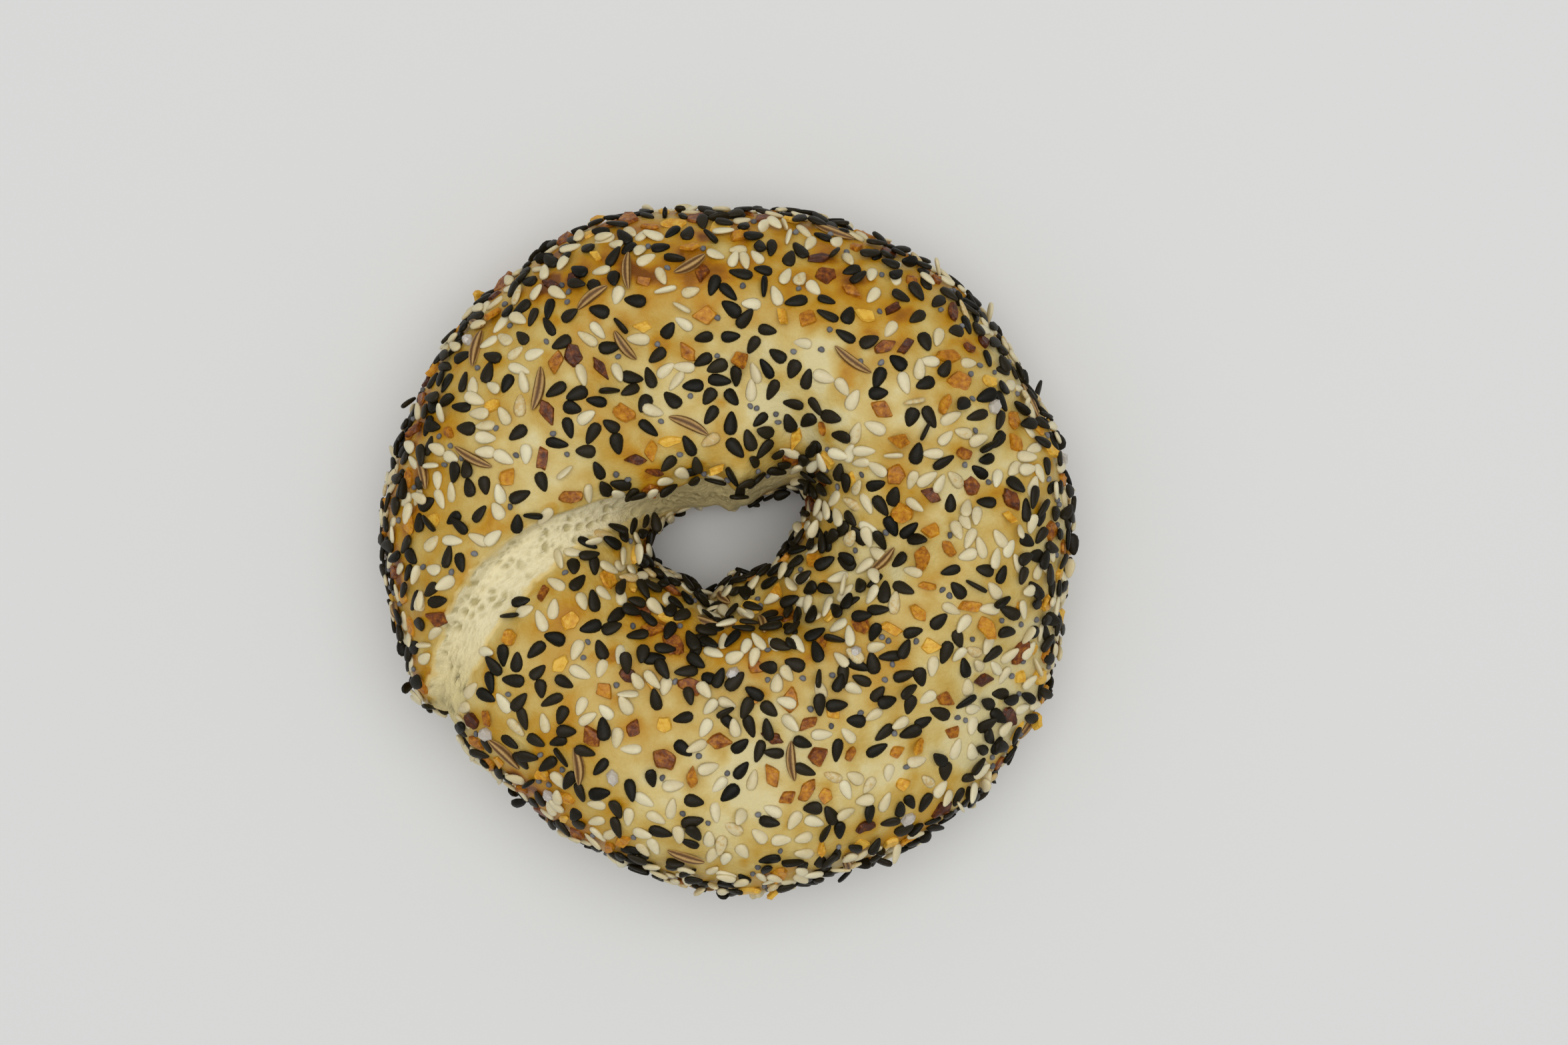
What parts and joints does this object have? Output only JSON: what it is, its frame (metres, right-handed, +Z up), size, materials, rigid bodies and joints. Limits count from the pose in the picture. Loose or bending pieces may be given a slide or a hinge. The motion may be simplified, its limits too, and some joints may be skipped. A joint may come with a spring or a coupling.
{
  "type": "bagel",
  "caption": "Ring-shaped baked bread roll with a glossy, twisted crust, an open tear that shows the crumb, and a coat of mixed seeds and toasted onion flakes.",
  "frame": {"origin": "on the surface the bagel rests on, under the middle of the ring", "axes": "+Z up through the hole; seen from above, +X to the right and +Y away from the viewer, with the tear leaving the rim at the lower left"},
  "size_m": [0.1062, 0.1062, 0.0376],
  "materials": {
    "crust": "glossy baked crust, golden to brown",
    "crumb": "matte, fine open pores",
    "black_sesame": "matte charcoal",
    "white_sesame": "satin ivory",
    "poppy_seed": "matte blue-grey",
    "caraway": "matte brown with pale ridges",
    "toasted_onion": "satin, amber to dark red-brown",
    "salt": "clear, glossy crystals"
  },
  "bodies": {
    "root": {"bagel": "crust"}
  },
  "joints": []
}
